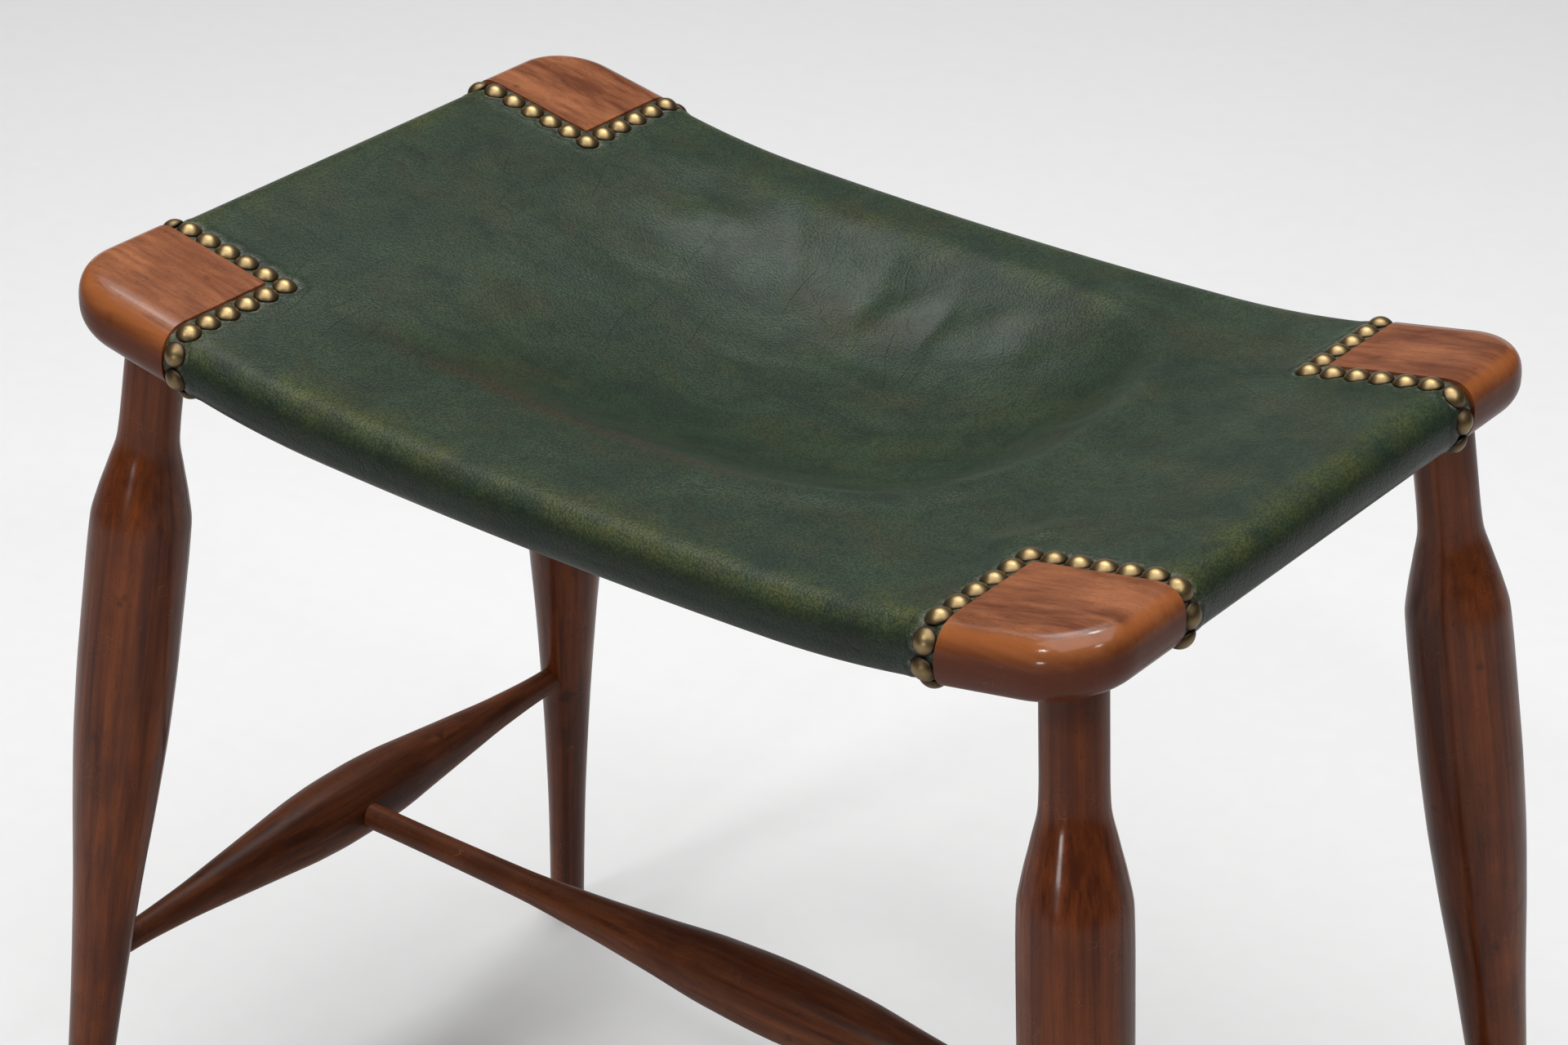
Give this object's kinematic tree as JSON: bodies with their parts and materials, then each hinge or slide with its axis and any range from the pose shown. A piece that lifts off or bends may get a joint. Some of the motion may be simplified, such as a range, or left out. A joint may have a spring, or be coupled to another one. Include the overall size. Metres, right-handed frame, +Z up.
{
  "type": "leather-topped stool",
  "caption": "Low rectangular stool with a dished leather sling nailed to a curved wooden frame, splayed turned legs and an H of turned stretchers.",
  "frame": {"origin": "on the floor under the middle of the seat", "axes": "+X along the long side to the right, -Y to the front, +Z up"},
  "size_m": [0.5622, 0.3556, 0.4824],
  "materials": {
    "frame_wood": "polished orange-brown mahogany",
    "leg_wood": "polished dark red-brown mahogany",
    "dowel_wood": "bare beech",
    "seat_leather": "dark green, fine pebble grain, worn sheen",
    "nail_brass": "antique brass with dark rims",
    "tack_steel": "blued steel"
  },
  "bodies": {
    "root": {"back_rail": "frame_wood", "dowels_back_left": "dowel_wood", "dowels_back_right": "dowel_wood", "dowels_front_left": "dowel_wood", "dowels_front_right": "dowel_wood", "front_rail": "frame_wood", "leather_seat": "seat_leather", "left_end_rail": "frame_wood", "leg_back_left": "leg_wood", "leg_back_right": "leg_wood", "leg_front_left": "leg_wood", "leg_front_right": "leg_wood", "middle_stretcher": "leg_wood", "nails_back_left": "nail_brass", "nails_back_right": "nail_brass", "nails_front_left": "nail_brass", "nails_front_right": "nail_brass", "right_end_rail": "frame_wood", "side_stretcher_left": "leg_wood", "side_stretcher_right": "leg_wood", "tacks_back": "tack_steel", "tacks_front": "tack_steel", "tacks_left": "tack_steel", "tacks_right": "tack_steel"}
  },
  "joints": []
}
